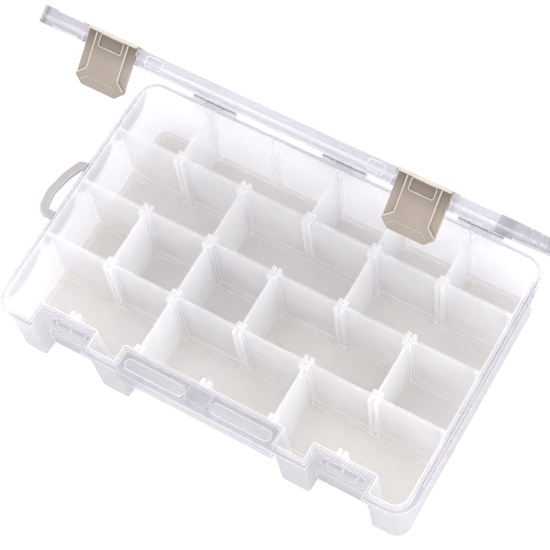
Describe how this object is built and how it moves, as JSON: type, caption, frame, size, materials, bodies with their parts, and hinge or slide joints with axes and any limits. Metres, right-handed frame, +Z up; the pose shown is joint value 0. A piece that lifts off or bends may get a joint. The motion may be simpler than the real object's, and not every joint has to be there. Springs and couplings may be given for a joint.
{
  "type": "divided utility box",
  "caption": "Deep clear plastic tackle box with a divided tray, removable dividers, a hinged lid and snap latches.",
  "frame": {"origin": "centre of the tray footprint on its underside", "axes": "+Z up, +Y towards the hinge side, +X along the long side to the right as seen from the latches"},
  "size_m": [0.3673, 0.2382, 0.2756],
  "materials": {
    "clear_tray": "clear, lightly warm, glossy",
    "clear_lid": "clear, glossy",
    "clear_divider": "clear, glossy",
    "milky_loop": "semi-opaque, satin",
    "tan_latch": "satin taupe",
    "pin": "satin"
  },
  "bodies": {
    "tray": {"base_tray": "clear_tray", "hang_loop": "milky_loop", "hinge_pin_left": "pin", "hinge_pin_middle": "pin", "hinge_pin_right": "pin"},
    "lid_unit": {"lid": "clear_lid", "latch_pin_left": "pin", "latch_pin_right": "pin"},
    "left_latch": {"latch_left": "tan_latch"},
    "right_latch": {"latch_right": "tan_latch"},
    "divider_row1_column1_body": {"divider_row1_column1": "clear_divider"},
    "divider_row1_column3_body": {"divider_row1_column3": "clear_divider"},
    "divider_row1_column4_body": {"divider_row1_column4": "clear_divider"},
    "divider_row1_column5_body": {"divider_row1_column5": "clear_divider"},
    "divider_row2_column2_body": {"divider_row2_column2": "clear_divider"},
    "divider_row2_column4_body": {"divider_row2_column4": "clear_divider"},
    "divider_row3_column1_body": {"divider_row3_column1": "clear_divider"},
    "divider_row3_column2_body": {"divider_row3_column2": "clear_divider"},
    "divider_row3_column3_body": {"divider_row3_column3": "clear_divider"},
    "divider_row3_column5_body": {"divider_row3_column5": "clear_divider"},
    "divider_row4_column2_body": {"divider_row4_column2": "clear_divider"},
    "divider_row4_column4_body": {"divider_row4_column4": "clear_divider"}
  },
  "joints": [
    {"name": "lid_hinge", "type": "hinge", "parent": "tray", "child": "lid_unit", "pos_m": [0, 0.111, 0.0645], "axis": [-1, 0, 0], "range_deg": [-64.5, 115.5]},
    {"name": "left_latch_pivot", "type": "hinge", "parent": "lid_unit", "child": "left_latch", "pos_m": [-0.115, 0.02476, 0.27154], "axis": [-1, 0, 0], "range_deg": [-5, 150]},
    {"name": "right_latch_pivot", "type": "hinge", "parent": "lid_unit", "child": "right_latch", "pos_m": [0.115, 0.02476, 0.27154], "axis": [-1, 0, 0], "range_deg": [-5, 150]},
    {"name": "divider_row1_column1_slide", "type": "slide", "parent": "tray", "child": "divider_row1_column1_body", "axis": [0, 0, 1], "range_m": [0, 0.022]},
    {"name": "divider_row1_column3_slide", "type": "slide", "parent": "tray", "child": "divider_row1_column3_body", "axis": [0, 0, 1], "range_m": [0, 0.022]},
    {"name": "divider_row1_column4_slide", "type": "slide", "parent": "tray", "child": "divider_row1_column4_body", "axis": [0, 0, 1], "range_m": [0, 0.022]},
    {"name": "divider_row1_column5_slide", "type": "slide", "parent": "tray", "child": "divider_row1_column5_body", "axis": [0, 0, 1], "range_m": [0, 0.022]},
    {"name": "divider_row2_column2_slide", "type": "slide", "parent": "tray", "child": "divider_row2_column2_body", "axis": [0, 0, 1], "range_m": [0, 0.07]},
    {"name": "divider_row2_column4_slide", "type": "slide", "parent": "tray", "child": "divider_row2_column4_body", "axis": [0, 0, 1], "range_m": [0, 0.07]},
    {"name": "divider_row3_column1_slide", "type": "slide", "parent": "tray", "child": "divider_row3_column1_body", "axis": [0, 0, 1], "range_m": [0, 0.07]},
    {"name": "divider_row3_column2_slide", "type": "slide", "parent": "tray", "child": "divider_row3_column2_body", "axis": [0, 0, 1], "range_m": [0, 0.07]},
    {"name": "divider_row3_column3_slide", "type": "slide", "parent": "tray", "child": "divider_row3_column3_body", "axis": [0, 0, 1], "range_m": [0, 0.07]},
    {"name": "divider_row3_column5_slide", "type": "slide", "parent": "tray", "child": "divider_row3_column5_body", "axis": [0, 0, 1], "range_m": [0, 0.07]},
    {"name": "divider_row4_column2_slide", "type": "slide", "parent": "tray", "child": "divider_row4_column2_body", "axis": [0, 0, 1], "range_m": [0, 0.07]},
    {"name": "divider_row4_column4_slide", "type": "slide", "parent": "tray", "child": "divider_row4_column4_body", "axis": [0, 0, 1], "range_m": [0, 0.07]}
  ]
}
